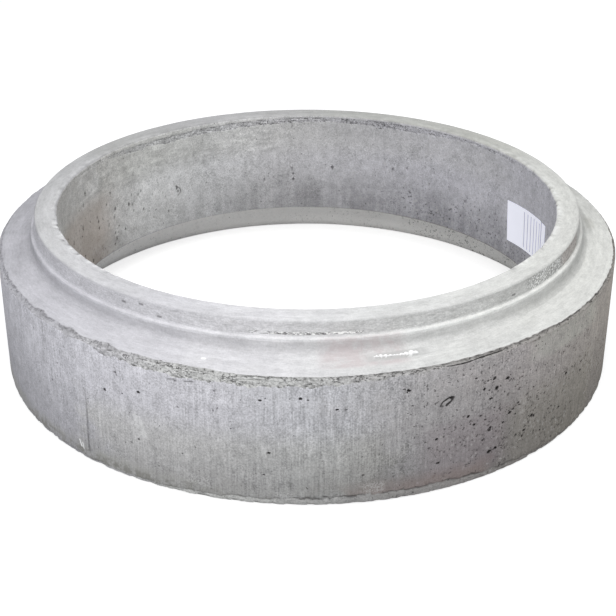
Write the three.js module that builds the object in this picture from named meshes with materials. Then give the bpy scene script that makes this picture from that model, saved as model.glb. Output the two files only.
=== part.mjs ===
// Precast concrete shaft ring: 1000 mm bore, 120 mm wall, 250 mm build height.
// One casting. A spigot with a seal ledge stands up round the bore, and a socket of
// the matching shape is cut into the underside, so that rings stack into a shaft.
// Millimetres, +Z up, origin on the axis at the level of the foot.

import * as THREE from 'three';

// Driving dimensions.
const boreDiameter = 1000;
const wallThickness = 120;
const buildHeight = 250;

// Spigot: the collar that stands above the shoulder.
const spigotLength = 65;
const spigotTopThickness = 44;
const spigotTaper = 3.5;
const sealLedgeWidth = 6;
const sealLedgeDepth = 30;
const spigotRootTaper = 2;
const shoulderRise = 9;

// Socket: the recess that the spigot of the ring beneath goes up into.
const socketDepth = 73;
const socketClearance = 4.5;
const socketTaper = 4;
const leadInHeight = 16;
const leadInWidth = 8;

// Roundings of the corners of the section.
const footRounding = 6;
const shoulderArris = 3;
const filletRadius = 14;
const ledgeRounding = 3;
const ledgeRootRounding = 2;
const spigotRounding = 5;
const boreTopRounding = 6;
const boreBottomRounding = 5;
const socketFillet = 8;
const mouthRounding = 4;

// Facets round the ring: one every 3 degrees.
const turnSegments = 120;

const boreRadius = boreDiameter / 2;
const outerRadius = boreRadius + wallThickness;
const spigotTop = buildHeight + spigotLength;
const ledgeHeight = spigotTop - sealLedgeDepth;

const spigotTopRadius = boreRadius + spigotTopThickness;
const ledgeInnerRadius = spigotTopRadius + spigotTaper;
const ledgeOuterRadius = ledgeInnerRadius + sealLedgeWidth;
const spigotRootRadius = ledgeOuterRadius + spigotRootTaper;

const socketCeilingRadius = spigotRootRadius + socketClearance - socketTaper;
const socketNeckRadius = spigotRootRadius + socketClearance;
const mouthRadius = socketNeckRadius + leadInWidth;

// The corners of the section, as seen with the axis on the left: radius, height,
// rounding, and the number of chords in the rounding. They go round anticlockwise,
// starting at the foot of the outer wall.
const corners = [
  [outerRadius, 0, footRounding, 2],
  [outerRadius, buildHeight, shoulderArris, 2],
  [spigotRootRadius, buildHeight + shoulderRise, filletRadius, 4],
  [ledgeOuterRadius, ledgeHeight, ledgeRounding, 2],
  [ledgeInnerRadius, ledgeHeight, ledgeRootRounding, 1],
  [spigotTopRadius, spigotTop, spigotRounding, 3],
  [boreRadius, spigotTop, boreTopRounding, 3],
  [boreRadius, socketDepth, boreBottomRounding, 2],
  [socketCeilingRadius, socketDepth, socketFillet, 3],
  [socketNeckRadius, leadInHeight, 0, 0],
  [mouthRadius, 0, mouthRounding, 2],
];

// The points of one corner: the corner itself where it is sharp, or an arc that is
// tangent to the sides before and after it.
function roundedCorner(previous, corner, next, radius, chords) {
  if (radius === 0) {
    return [corner];
  }
  const back = previous.clone().sub(corner).normalize();
  const ahead = next.clone().sub(corner).normalize();
  const halfAngle = Math.acos(back.dot(ahead)) / 2;
  const towardsCentre = back.clone().add(ahead).normalize();
  const centre = corner.clone().addScaledVector(towardsCentre, radius / Math.sin(halfAngle));
  const tangentLength = radius / Math.tan(halfAngle);
  const first = corner.clone().addScaledVector(back, tangentLength);
  const turn = Math.PI - 2 * halfAngle;
  const direction = Math.sign(ahead.cross(back));
  const points = [];
  for (let i = 0; i <= chords; i += 1) {
    points.push(first.clone().rotateAround(centre, direction * turn * i / chords));
  }
  return points;
}

// The closed section of the ring, with every corner rounded.
function ringSection() {
  const places = corners.map(([radius, height]) => new THREE.Vector2(radius, height));
  const count = places.length;
  const points = places.flatMap((corner, i) => {
    const previous = places[(i + count - 1) % count];
    const next = places[(i + 1) % count];
    return roundedCorner(previous, corner, next, corners[i][2], corners[i][3]);
  });
  points.push(points[0].clone());
  return points;
}

const concrete = new THREE.MeshStandardMaterial({
  color: 0xb3b3b0,
  roughness: 0.93,
  metalness: 0,
});

// The section is turned about the Y axis, and the ring is then stood up along Z.
const ringShape = new THREE.LatheGeometry(ringSection(), turnSegments);
ringShape.rotateX(Math.PI / 2);

const ring = new THREE.Mesh(ringShape, concrete);
ring.name = 'ring';

const culvertRing = new THREE.Group();
culvertRing.add(ring);

export default culvertRing;
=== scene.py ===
# %% [markdown]
# # A precast concrete culvert ring
# The ring is one casting: a low cylinder with a wide bore, a sloping shoulder, a
# spigot with a seal ledge standing on it, and a socket of the same shape underneath.
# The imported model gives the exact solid. This script makes the surface that such a
# casting really has: crumbled arrises, blow-holes, form marks and pale cement skin.
# Everything is in metres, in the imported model's frame, with +Z up.

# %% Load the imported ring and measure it
import math
import random

import bmesh
import bpy
from mathutils import Matrix, Vector, kdtree, noise


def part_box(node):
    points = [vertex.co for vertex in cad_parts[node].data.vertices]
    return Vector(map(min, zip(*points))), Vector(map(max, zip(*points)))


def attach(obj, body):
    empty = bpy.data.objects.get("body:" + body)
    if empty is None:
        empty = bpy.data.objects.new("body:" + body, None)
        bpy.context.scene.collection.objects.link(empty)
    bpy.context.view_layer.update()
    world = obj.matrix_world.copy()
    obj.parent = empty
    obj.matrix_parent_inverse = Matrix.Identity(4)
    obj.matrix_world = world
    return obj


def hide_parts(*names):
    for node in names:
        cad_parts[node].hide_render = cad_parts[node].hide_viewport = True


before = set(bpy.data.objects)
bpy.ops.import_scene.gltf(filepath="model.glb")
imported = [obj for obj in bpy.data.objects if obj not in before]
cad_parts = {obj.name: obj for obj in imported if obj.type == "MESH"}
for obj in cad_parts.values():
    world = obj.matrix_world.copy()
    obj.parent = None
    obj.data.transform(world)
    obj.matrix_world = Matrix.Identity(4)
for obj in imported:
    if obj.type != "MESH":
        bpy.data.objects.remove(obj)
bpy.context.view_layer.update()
LOW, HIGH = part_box("ring")
WALL_RADIUS = HIGH.x
RING_TOP = HIGH.z
print("ring:", round(2 * WALL_RADIUS, 4), "m across,", round(RING_TOP, 4), "m high")

# %% Put things in the scene
def add_object(name, data):
    """An object of the scene that shows a mesh, a lamp or a camera."""
    made = bpy.data.objects.new(name, data)
    bpy.context.scene.collection.objects.link(made)
    return made


def add_mesh(name, mesh):
    """An object made from a finished bmesh."""
    data = bpy.data.meshes.new(name)
    mesh.to_mesh(data)
    mesh.free()
    return add_object(name, data)


# %% [markdown]
# ## The view
# A long lens from above eye level keeps the ring's ellipses nearly parallel. The
# optical axis falls a little above the middle of the frame, which a small lens shift
# gives without tilting the verticals.

# %% Camera
IMAGE_SIDE = 616
FOCAL_PIXELS = 1235.69
SENSOR_WIDTH = 36.0
AXIS_PIXEL = (306.64, 262.0)
CAMERA_PLACE = (0.0, -2.3275, 1.2683)
CAMERA_PITCH = math.radians(25.42)

camera_data = bpy.data.cameras.new("camera")
camera_data.sensor_width = SENSOR_WIDTH
camera_data.lens = SENSOR_WIDTH * FOCAL_PIXELS / IMAGE_SIDE
camera_data.shift_x = (IMAGE_SIDE / 2 - AXIS_PIXEL[0]) / IMAGE_SIDE
camera_data.shift_y = (AXIS_PIXEL[1] - IMAGE_SIDE / 2) / IMAGE_SIDE
camera = add_object("camera", camera_data)
camera.location = CAMERA_PLACE
camera.rotation_euler = (math.pi / 2 - CAMERA_PITCH, 0.0, 0.0)
bpy.context.scene.camera = camera
bpy.context.scene.view_settings.view_transform = "Standard"
print("lens", round(camera_data.lens, 1), "mm")

# %% [markdown]
# ## Node helpers
# Every material here is a small graph of nodes. Helpers keep the graphs short: they add
# a node with its settings to the graph in hand, which is always called `tree`, join
# sockets or set their values, and name the steps that come up again and again.

# %% An empty graph, and a node in it
def empty_graph(owner):
    """The node graph of a world or a material, with nothing in it."""
    owner.use_nodes = True
    owner.node_tree.nodes.clear()
    return owner.node_tree


def node(kind, inputs=None, **settings):
    """Adds a node, sets its properties, and links or fills the inputs named."""
    made = tree.nodes.new(kind)
    for name, value in settings.items():
        setattr(made, name, value)
    for name, value in (inputs or {}).items():
        if isinstance(value, bpy.types.NodeSocket):
            tree.links.new(value, made.inputs[name])
        else:
            made.inputs[name].default_value = value
    return made


# %% Sums, steps and colours made by nodes
def maths(operation, first, second=0.0, third=0.0):
    """The result of a Math node."""
    return node("ShaderNodeMath", {0: first, 1: second, 2: third}, operation=operation).outputs[0]


def vector_maths(operation, first, second=(0.0, 0.0, 0.0)):
    """The vector result of a Vector Math node."""
    return node("ShaderNodeVectorMath", {0: first, 1: second}, operation=operation).outputs[0]


def remap(value, low, high, first=0.0, last=1.0):
    """An eased step from first to last, as the value goes from low to high."""
    return node("ShaderNodeMapRange", {"Value": value, "From Min": low, "From Max": high,
                                       "To Min": first, "To Max": last},
                interpolation_type="SMOOTHSTEP").outputs[0]


def blend(factor, first, second):
    """One colour mixed over another."""
    return node("ShaderNodeMix", {0: factor, 6: first, 7: second}, data_type="RGBA").outputs[2]


def speckle(vector, scale, detail, roughness=0.6):
    """Fractal noise from 0 to 1. Scale is in lumps to the metre."""
    return node("ShaderNodeTexNoise", {"Vector": vector, "Scale": scale, "Detail": detail,
                                       "Roughness": roughness}).outputs["Fac"]


def paint(*levels):
    """A colour from screen levels out of 255."""
    shares = [level / 255 for level in levels]
    return [share / 12.92 if share <= 0.04045 else ((share + 0.055) / 1.055) ** 2.4
            for share in shares] + [1.0]


def ramp(factor, *stops):
    """A colour read from stops, each a position and the screen levels there."""
    made = node("ShaderNodeValToRGB", {0: factor})
    elements = made.color_ramp.elements
    elements.remove(elements[1])
    elements[0].position = stops[0][0]
    elements[0].color = paint(*stops[0][1:])
    for position, *levels in stops[1:]:
        elements.new(position).color = paint(*levels)
    return made.outputs[0]


print("screen level 128 is", round(paint(128)[0], 3), "of full light")

# %% [markdown]
# A mask is a number that is 1 where something lies and 0 where it doesn't. Masks are
# multiplied to narrow them down, and then lay a stain over a colour or change its tone.

# %% Masks
def linear(value, slope, start):
    """The value times a slope, plus a start."""
    return maths("MULTIPLY_ADD", value, slope, start)


def fading(value, low, high):
    """1 below low, and an eased fall to 0 at high."""
    return remap(value, low, high, 1.0, 0.0)


def combined(operation, parts):
    """Several numbers joined by one Math operation."""
    total = parts[0]
    for part in parts[1:]:
        total = maths(operation, total, part)
    return total


def times(*parts):
    """The product of several numbers."""
    return combined("MULTIPLY", parts)


def largest(*parts):
    """The largest of several numbers."""
    return combined("MAXIMUM", parts)


def window(value, low, high, soft):
    """1 between two values, with eased sides."""
    return times(remap(value, low - soft, low), fading(value, high, high + soft))


def masked(pattern, mask):
    """A pattern whose swing about 0.5 is kept only where the mask is 1."""
    return linear(maths("SUBTRACT", pattern, 0.5), mask, 0.5)


# %% Tones and stains
def brightness(*parts):
    """1 plus each pattern's swing about its middle, as (pattern, swing) pairs."""
    total = 1.0
    for pattern, swing in parts:
        total = linear(pattern, swing, maths("ADD", total, -swing / 2))
    return total


def shaded(colour, value):
    """A colour made lighter or darker by a number."""
    if not isinstance(colour, bpy.types.NodeSocket):
        colour = colour[:3]
    scale = {0: colour, "Scale": value}
    return node("ShaderNodeVectorMath", scale, operation="SCALE").outputs[0]


def toned(colour, gain, *masks):
    """A colour made lighter or darker by a share of itself, where the masks are 1."""
    return shaded(colour, linear(times(*masks), gain, 1.0))


def stained(colour, levels, *strengths):
    """A colour with another over it, given by its screen levels."""
    return blend(times(*strengths), colour, paint(*levels))


def less_blue(colour, share, *masks):
    """A colour that keeps only a share of its blue, where the masks are 1."""
    tint = blend(times(*masks), (1.0, 1.0, 1.0, 1.0), (1.0, 1.0, share, 1.0))
    return vector_maths("MULTIPLY", colour, tint)


def seen_or_lighting(seen_shader, lighting_shader):
    """One shader for what the camera sees, and another for the light that is given."""
    path = node("ShaderNodeLightPath").outputs
    seen = largest(path["Is Camera Ray"], path["Is Glossy Ray"])
    return node("ShaderNodeMixShader", {0: seen, 1: lighting_shader.outputs[0],
                                        2: seen_shader.outputs[0]}).outputs[0]


# %% [markdown]
# ## Floor and light
# The ring stands on a plain pale floor under soft studio light. A shadow catcher over
# white would need compositing. Instead the floor is lifted towards white for the camera
# by a little emission, and its shadow stays.

# %% World
world = bpy.data.worlds.new("studio")
bpy.context.scene.world = world
tree = empty_graph(world)
soft = node("ShaderNodeBackground", {"Color": (0.93, 0.96, 1.0, 1.0), "Strength": 0.50})
white = node("ShaderNodeBackground", {"Color": (1.0, 1.0, 1.0, 1.0), "Strength": 1.0})
node("ShaderNodeOutputWorld", {"Surface": seen_or_lighting(white, soft)})
print("world:", len(tree.nodes), "nodes")


# %% Lamps
def area_lamp(name, place, size, power, colour):
    """A square lamp aimed at the middle of the ring."""
    data = bpy.data.lights.new(name, "AREA")
    data.shape = "SQUARE"
    data.size = size
    data.energy = power
    data.color = colour
    lamp = add_object(name, data)
    lamp.location = place
    aim = Vector((0.0, 0.0, RING_TOP / 2)) - Vector(place)
    lamp.rotation_euler = aim.to_track_quat("-Z", "Y").to_euler()


area_lamp("key_lamp", (-0.9, -3.0, 3.9), 2.4, 96.0, (1.0, 0.99, 0.97))
area_lamp("top_lamp", (0.5, -0.3, 4.0), 3.0, 74.0, (1.0, 1.0, 1.0))
print("lamps:", ", ".join(lamp.name for lamp in bpy.data.lights))

# %% Floor
FLOOR_SIDE = 60.0
floor_mesh = bmesh.new()
bmesh.ops.create_grid(floor_mesh, x_segments=1, y_segments=1, size=FLOOR_SIDE / 2)
floor = add_mesh("floor", floor_mesh)

floor_finish = bpy.data.materials.new("pale_floor")
tree = empty_graph(floor_finish)
chalk = node("ShaderNodeBsdfDiffuse", {"Color": (0.60, 0.60, 0.60, 1.0)})
grey = node("ShaderNodeBsdfDiffuse", {"Color": (0.42, 0.42, 0.42, 1.0)})
glow = node("ShaderNodeEmission", {"Color": (1.0, 1.0, 1.0, 1.0), "Strength": 0.72})
lit = node("ShaderNodeAddShader", {0: grey.outputs[0], 1: glow.outputs[0]})
node("ShaderNodeOutputMaterial", {"Surface": seen_or_lighting(lit, chalk)})
floor.data.materials.append(floor_finish)
print("floor", FLOOR_SIDE, "m across")

# %% [markdown]
# ## The section
# A casting like this is a turned form, so it is modelled as its section: eleven
# corners joined by straight edges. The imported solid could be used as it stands, but its
# long facets are too few to carve. Each corner is rounded by a vertex bevel, and the
# edges are then subdivided, finely where the concrete is worn and coarsely where the
# wall is plain.

# %% Corners of the section
BORE_RADIUS = WALL_RADIUS - 0.120
SHOULDER = RING_TOP - 0.065
LEDGE = RING_TOP - 0.030
SOCKET_DEPTH = 0.073

# radius, height, rounding, chords in the rounding
CORNERS = [
    (WALL_RADIUS, 0.0, 0.006, 4),
    (WALL_RADIUS, SHOULDER, 0.003, 3),
    (BORE_RADIUS + 0.0555, SHOULDER + 0.009, 0.014, 6),
    (BORE_RADIUS + 0.0535, LEDGE, 0.003, 3),
    (BORE_RADIUS + 0.0475, LEDGE, 0.002, 2),
    (BORE_RADIUS + 0.044, RING_TOP, 0.005, 4),
    (BORE_RADIUS, RING_TOP, 0.006, 5),
    (BORE_RADIUS, SOCKET_DEPTH, 0.005, 3),
    (BORE_RADIUS + 0.056, SOCKET_DEPTH, 0.008, 4),
    (BORE_RADIUS + 0.060, 0.016, 0.0, 0),
    (BORE_RADIUS + 0.068, 0.0, 0.004, 3),
]


def round_corner(section, corner, rounding, chords):
    """Bevels one vertex of the section to an arc of the given radius."""
    sides = [edge.other_vert(corner).co - corner.co for edge in corner.link_edges]
    reach = rounding / math.tan(sides[0].angle(sides[1]) / 2)
    bmesh.ops.bevel(section, geom=[corner], offset=reach, offset_type="OFFSET",
                    segments=chords, profile=0.5, affect="VERTICES", material=-1)


section = bmesh.new()
corner_verts = [section.verts.new((radius, 0.0, height)) for radius, height, _, _ in CORNERS]
for here, there in zip(corner_verts, corner_verts[1:] + corner_verts[:1]):
    section.edges.new((here, there))
for corner, (_, _, rounding, chords) in zip(corner_verts, CORNERS):
    if rounding:
        round_corner(section, corner, rounding, chords)
print("section:", len(section.verts), "points")

# %% Points close together at the worn edges
# lowest and highest radius, lowest and highest height
WORN = {
    "arris": (WALL_RADIUS - 0.022, WALL_RADIUS, SHOULDER - 0.026, SHOULDER + 0.004),
    "rim": (BORE_RADIUS, BORE_RADIUS + 0.003, RING_TOP - 0.034, RING_TOP - 0.003),
    "foot": (WALL_RADIUS - 0.005, WALL_RADIUS, 0.0, 0.022),
}
FINE_SPACING = 0.0022
COARSE_SPACING = 0.026
COARSENING = 0.55
SECTION_SLACK = 1.30
SECTION_PASSES = 8


def outside(radius, height, area):
    """How far a place in the section lies outside an area, or 0 inside it."""
    low_radius, high_radius, low, high = area
    return math.hypot(max(low_radius - radius, 0.0, radius - high_radius),
                      max(low - height, 0.0, height - high))


def section_spacing(radius, height):
    """Fine at a worn edge, and coarser in step with the distance from it."""
    away = min(outside(radius, height, area) for area in WORN.values())
    return min(COARSE_SPACING, FINE_SPACING + COARSENING * away)


def split_long_edges(mesh, spacing_at, passes):
    """Halves every edge that is longer than the spacing wanted at its middle."""
    for _ in range(passes):
        long_edges = [edge for edge in mesh.edges if edge.calc_length()
                      > spacing_at((edge.verts[0].co + edge.verts[1].co) / 2)]
        if not long_edges:
            return
        bmesh.ops.subdivide_edges(mesh, edges=long_edges, cuts=1, use_grid_fill=True)


split_long_edges(section, lambda point: SECTION_SLACK * section_spacing(point.x, point.z),
                 SECTION_PASSES)
print("section after subdividing:", len(section.verts), "points")

# %% [markdown]
# ## Turning the section
# A spin turns the section about Z. A Screw modifier would turn it too, but here the
# points themselves are needed. One eighth of the turn is spun and then copied round,
# doubling each time, which gives the same mesh as a full spin in less time.

# %% Spin one eighth and copy it round
EIGHTH = math.pi / 4
STEPS_IN_EIGHTH = 50
WELD = 1e-5

bmesh.ops.spin(section, geom=section.verts[:] + section.edges[:], cent=(0.0, 0.0, 0.0),
               axis=(0.0, 0.0, 1.0), dvec=(0.0, 0.0, 0.0), angle=EIGHTH,
               steps=STEPS_IN_EIGHTH, use_merge=False, use_duplicate=False)
for doubling in range(3):
    whole = section.verts[:] + section.edges[:] + section.faces[:]
    copied = bmesh.ops.duplicate(section, geom=whole)["geom"]
    turned = [item for item in copied if isinstance(item, bmesh.types.BMVert)]
    bmesh.ops.rotate(section, verts=turned, cent=(0.0, 0.0, 0.0),
                     matrix=Matrix.Rotation(EIGHTH * 2 ** doubling, 3, "Z"))
bmesh.ops.remove_doubles(section, verts=section.verts[:], dist=WELD)
bmesh.ops.recalc_face_normals(section, faces=section.faces[:])
casting = section
print("casting:", len(casting.faces), "faces,",
      sum(1 for edge in casting.edges if not edge.is_manifold), "open edges")

# %% [markdown]
# ## Places on the ring
# A place on the ring is given by its bearing, in degrees from the front and positive
# towards +X, and its height in millimetres. Wear that changes round the ring is a
# short list of stops, read in a straight line from one to the next.


# %% Bearings, stops and smooth steps
def bearing(point):
    """Degrees round the ring from the front, positive towards +X."""
    return math.degrees(math.atan2(point.x, -point.y))


def place(degrees, height, radius):
    """The point at a bearing, a height in millimetres and a radius in metres."""
    angle = math.radians(degrees)
    return Vector((radius * math.sin(angle), -radius * math.cos(angle), height / 1000))


def between(stops, degrees):
    """Reads a value from (bearing, value) stops, in a straight line between them."""
    for (left, first), (right, second) in zip(stops, stops[1:]):
        if degrees <= right:
            return first + (second - first) * (degrees - left) / (right - left)
    return stops[-1][1]


def step(value, low, high):
    """0 below low, 1 above high, and an eased rise between them."""
    part = min(1.0, max(0.0, (value - low) / (high - low)))
    return part * part * (3 - 2 * part)


def clear_distance(point, line):
    """Distance from a point to a line of points."""
    best = 1.0
    for start, end in zip(line, line[1:]):
        along = end - start
        part = min(1.0, max(0.0, (point - start).dot(along) / along.length_squared))
        best = min(best, (point - start - part * along).length)
    return best


print("+X lies at", bearing(Vector((1.0, 0.0, 0.0))), "degrees")

# %% [markdown]
# ## Blow-holes
# Air that stays against the steel form leaves round holes in the wall, most of them
# where the mix was compacted least. The large ones are placed one by one. The small
# ones are scattered by a seeded generator, thickly in one patch of the wall and
# thinly elsewhere. Cutting hundreds of holes with Booleans would be slow, so they are
# pressed into the points of the mesh, like everything else on this ring.

# %% Blow-holes placed one by one
# bearing, height in millimetres, radius in millimetres
WALL_HOLES = [
    (22.9, 184, 2.8), (21.3, 171, 2.4), (33.5, 190, 4.0), (30.7, 198, 3.6), (31.4, 177, 4.0),
    (30.7, 52, 4.6), (31.9, 55, 3.4), (39.7, 90, 3.6), (40.3, 87, 2.8), (15.6, 213, 3.4),
    (14.9, 217, 2.2), (-27.1, 183, 3.0), (-33.8, 166, 2.8), (48.7, 136, 3.2), (34.5, 117, 3.6),
    (35.2, 122, 2.8), (-0.9, 212, 2.8), (0.2, 209, 2.0), (21.1, 59, 2.8), (8.8, 58, 2.2),
    (30.6, 101, 3.2), (26.1, 138, 2.8), (30.3, 160, 2.8), (54.0, 116, 2.8), (28.9, 183, 2.6),
    (38.1, 66, 3.0), (29.2, 80, 2.6), (36.3, 130, 2.4), (32.2, 134, 2.6), (44.2, 83, 2.6),
    (47.3, 72, 2.6), (51.2, 62, 2.4), (42.6, 123, 2.4), (33.2, 102, 2.4), (19.4, 93, 2.2),
    (27.2, 209, 2.2), (-20.4, 224, 2.4), (-14.1, 215, 2.4), (-31.4, 208, 2.4),
    (-7.0, 206, 2.4), (-6.2, 210, 1.8), (-6.6, 61, 2.0), (4.6, 190, 2.4), (6.0, 189, 1.8),
    (-30.2, 170, 2.0),
]
BORE_HOLES = [
    (-142.1, 168, 3.0), (-142.4, 160, 2.6), (172.8, 182, 3.2), (-97.9, 173, 3.0),
    (-104.4, 116, 2.8), (-175.9, 179, 2.6), (-176.3, 150, 2.8), (-176.2, 164, 2.0),
    (-134.0, 171, 2.4), (-108.5, 90, 3.2), (-119.4, 118, 2.6), (-119.3, 157, 2.4),
    (151.3, 200, 2.4), (155.5, 193, 2.0), (-168.1, 152, 2.6), (-93.7, 197, 2.6),
    (-130.1, 190, 2.0), (-127.0, 150, 2.2), (121.0, 160, 2.4), (127.0, 150, 2.0),
    (-107.0, 254, 3.4), (-105.5, 233, 2.8), (-103.0, 230, 2.2), (-104.5, 182, 3.2),
    (-108.5, 184, 2.0), (-112.0, 181, 2.4), (-112.5, 170, 3.0), (-114.5, 170, 2.0),
    (-116.5, 197, 2.0), (-120.0, 176, 3.2), (-121.0, 131, 2.0), (-123.5, 116, 3.0),
    (-125.5, 170, 3.4), (-127.4, 172, 1.8), (-130.6, 143, 2.6), (-132.5, 134, 1.7),
    (-119.0, 92, 2.6), (-126.5, 191, 1.7), (-137.5, 167, 2.0), (-139.0, 116, 2.4),
]
print("placed:", len(WALL_HOLES), "holes in the wall,", len(BORE_HOLES), "in the bore")

# %% Blow-holes scattered
scatter = random.Random(11)
SMALL_SIZES = (1.2, 1.4, 1.6, 1.9, 2.6)
COMPANION_SIZES = (1.3, 1.6, 2.0)
BIG_HOLE = 3.2
# how many, lowest and highest bearing, lowest and highest height
WALL_PATCHES = [(64, 17, 58, 35, 205), (12, 58, 100, 20, 225), (6, -70, 15, 20, 215),
                (20, -180, -70, 20, 225), (14, 100, 180, 20, 225)]
BORE_PATCHES = [(16, -150, -85, 85, 220), (10, 85, 180, 85, 230), (12, -85, 85, 85, 290)]


def scattered(patches):
    """Small holes at seeded places, denser towards the middle of each patch."""
    found = []
    for count, left, right, low, high in patches:
        for _ in range(count):
            found.append((scatter.triangular(left, right), scatter.triangular(low, high),
                          scatter.choice(SMALL_SIZES)))
    return found


def companions(placed, smallest):
    """Two smaller holes close beside each of the larger ones, to break its outline."""
    found = []
    for degrees, height, size in placed:
        for _ in range(2 if size >= smallest else 0):
            angle = scatter.uniform(0.0, math.tau)
            away = size * scatter.uniform(1.2, 2.3)
            turned = degrees + math.degrees(away * math.cos(angle) / 1000 / WALL_RADIUS)
            found.append((turned, height + away * math.sin(angle),
                          scatter.choice(COMPANION_SIZES)))
    return found


def holes_at(places, radius):
    """The centre and the radius of each hole, in metres."""
    return [(place(degrees, height, radius), size / 1000) for degrees, height, size in places]


holes = holes_at(WALL_HOLES + scattered(WALL_PATCHES), WALL_RADIUS)
holes += holes_at(BORE_HOLES + scattered(BORE_PATCHES), BORE_RADIUS)
holes += holes_at(companions(WALL_HOLES, BIG_HOLE), WALL_RADIUS)
hole_tree = kdtree.KDTree(len(holes))
for number, (centre, _) in enumerate(holes):
    hole_tree.insert(centre, number)
hole_tree.balance()
print("blow-holes:", len(holes))

# %% [markdown]
# ## Cracks, dribbles and worn edges
# The top arris broke away when the form was stripped, most of it on the left, where
# the break reaches in over the shoulder. Further right it is narrower, with a fine
# crack beneath it. A dribble of slurry has set on the shoulder, and a hairline of
# dirt follows an old form joint on the left of the wall.

# %% Lines drawn on the faces
SHOULDER_SLOPE = 0.1395


def on_wall(*stops):
    """A line on the outer wall through (bearing, height in millimetres) stops."""
    return [place(degrees, height, WALL_RADIUS) for degrees, height in stops]


def on_bore(*stops):
    """A line on the wall of the bore through (bearing, height in millimetres) stops."""
    return [place(degrees, height, BORE_RADIUS) for degrees, height in stops]


def on_shoulder(*stops):
    """A line on the shoulder through (bearing, radius in metres) stops."""
    return [place(degrees, 1000 * (SHOULDER + SHOULDER_SLOPE * (WALL_RADIUS - radius)), radius)
            for degrees, radius in stops]


# %% Cracks, dribble and splashes
EDGE_CRACK = on_wall((21.8, 246.0), (24.2, 244.8), (25.6, 245.2), (27.2, 247.6), (29.0, 249.0),
                     (32.0, 249.8))
HAIRLINE = on_wall((-38.5, 150), (-38.3, 120), (-38.4, 90), (-38.6, 50), (-38.5, 22))
NICKS = [on_wall((-21.7, 223.0), (-20.3, 225.5)), on_wall((-18.9, 224.5), (-17.5, 226.5)),
         on_wall((-31.4, 216.0), (-31.1, 203.0))]
LOOP_CRACK = on_wall((21.0, 172), (21.4, 179), (22.5, 185), (23.2, 184))
SCORE = on_wall((23.2, 184), (22.9, 178), (22.1, 171))
CRESCENT = on_bore((-142.3, 150), (-143.2, 157), (-143.0, 166), (-141.8, 174))
# line, half-width of its dark part, depth, strength, all in metres but the last
CRACKS = [(EDGE_CRACK, 0.0022, 0.0026, 1.7), (HAIRLINE, 0.0042, 0.0002, 0.52),
          (SCORE, 0.0034, 0.0020, 2.8), (LOOP_CRACK, 0.0024, 0.0016, 2.2),
          (CRESCENT, 0.0026, 0.0015, 1.2)]
CRACKS += [(line, 0.0020, 0.0010, 1.1) for line in NICKS]
# bearing, radius and size in metres of the lumps in the dribble
DRIBBLE = [(11.6, 0.5722, 0.0026), (12.3, 0.5724, 0.0034), (13.1, 0.5730, 0.0032),
           (13.9, 0.5735, 0.0026), (14.6, 0.5740, 0.0018), (15.8, 0.5744, 0.0026),
           (16.6, 0.5745, 0.0034), (17.5, 0.5750, 0.0052), (18.3, 0.5757, 0.0036)]
LUMPS = [(on_shoulder((degrees, radius))[0], size) for degrees, radius, size in DRIBBLE]
# line, half-width in metres, strength from 0 to 1
SPLASHES = [
    (on_wall((-40.8, 34), (-40.4, 23)), 0.0016, 1.0),
    (on_wall((-40.1, 31), (-39.9, 20)), 0.0015, 0.9),
    (on_wall((-28.0, 136), (-27.7, 112)), 0.0036, 0.30),
    (on_wall((-27.0, 126), (-26.5, 98)), 0.0042, 0.34),
    (on_shoulder((11.2, 0.5721), (13.2, 0.5731), (15.2, 0.5742)), 0.0012, 0.8),
    (on_shoulder((15.6, 0.5745), (18.6, 0.5758)), 0.0017, 0.9),
    (on_shoulder((-16.90, 0.5880), (-16.60, 0.5880)), 0.0026, 0.9),
]
print(len(CRACKS), "cracks,", len(LUMPS), "lumps,", len(SPLASHES), "splashes")

# %% Longest edge of the mesh on each line, in metres
LINES = [(EDGE_CRACK, 0.0009), (HAIRLINE, 0.0022), (LOOP_CRACK, 0.0011), (SCORE, 0.0011),
         (CRESCENT, 0.0014)]
LINES += [(line, 0.0012) for line in NICKS]
LINES += [([centre, centre + Vector((0.001, 0.0, 0.0))], 0.0011) for centre, _ in LUMPS]
LINES += [(line, 0.0013) for line, _, _ in SPLASHES]

# %% Wear of the top arris
# (bearing, wear of the wall under the arris, from 0 to 1)
ARRIS_WEAR = [(-180, 0.45), (-140, 0.35), (-100, 0.4), (-68, 0.2), (-54, 0.2), (-50, 0.55),
              (-46.5, 0.2), (-44, 0.2), (-41.8, 0.55), (-39, 0.2), (-36.5, 0.3), (-33.5, 0.8),
              (-30, 0.75), (-24, 1.0), (2, 0.9), (8, 0.55), (14, 0.45), (24, 0.28), (60, 0.25),
              (110, 0.25), (150, 0.5), (180, 0.45)]
# (bearing, how far the broken arris reaches in over the shoulder, in millimetres)
BREAK_REACH = [(-180, 5), (-100, 6), (-70, 9), (-57, 9), (-53, 8), (-50, 14), (-47, 9),
               (-44.5, 8), (-41.8, 13), (-39, 7), (-36.5, 7), (-33.5, 11), (-30, 7.5),
               (-14, 6.5), (-9, 3), (4, 3.5), (12, 4.5), (20, 4.5), (27, 6), (40, 6),
               (45, 4.5), (52, 4), (58, 4), (80, 5), (110, 4), (180, 5)]
# (bearing, how much painted shade lies in that break, from 0 to 1)
BREAK_SHADE = [(-180, 0.2), (-60, 0.08), (-53, 0.05), (-50, 0.34), (-47, 0.05), (-44.5, 0.04),
               (-41.8, 0.32), (-39, 0.05), (-36, 0.10), (-33.5, 0.30), (-30, 0.16), (-10, 0.22),
               (8, 0.24), (12, 0.36), (18, 0.36), (24, 0.28), (34, 0.40), (42, 0.55), (50, 0.55),
               (58, 0.50), (70, 0.35), (90, 0.2), (180, 0.2)]
print("the break reaches in by up to", max(reach for _, reach in BREAK_REACH), "mm")

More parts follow.
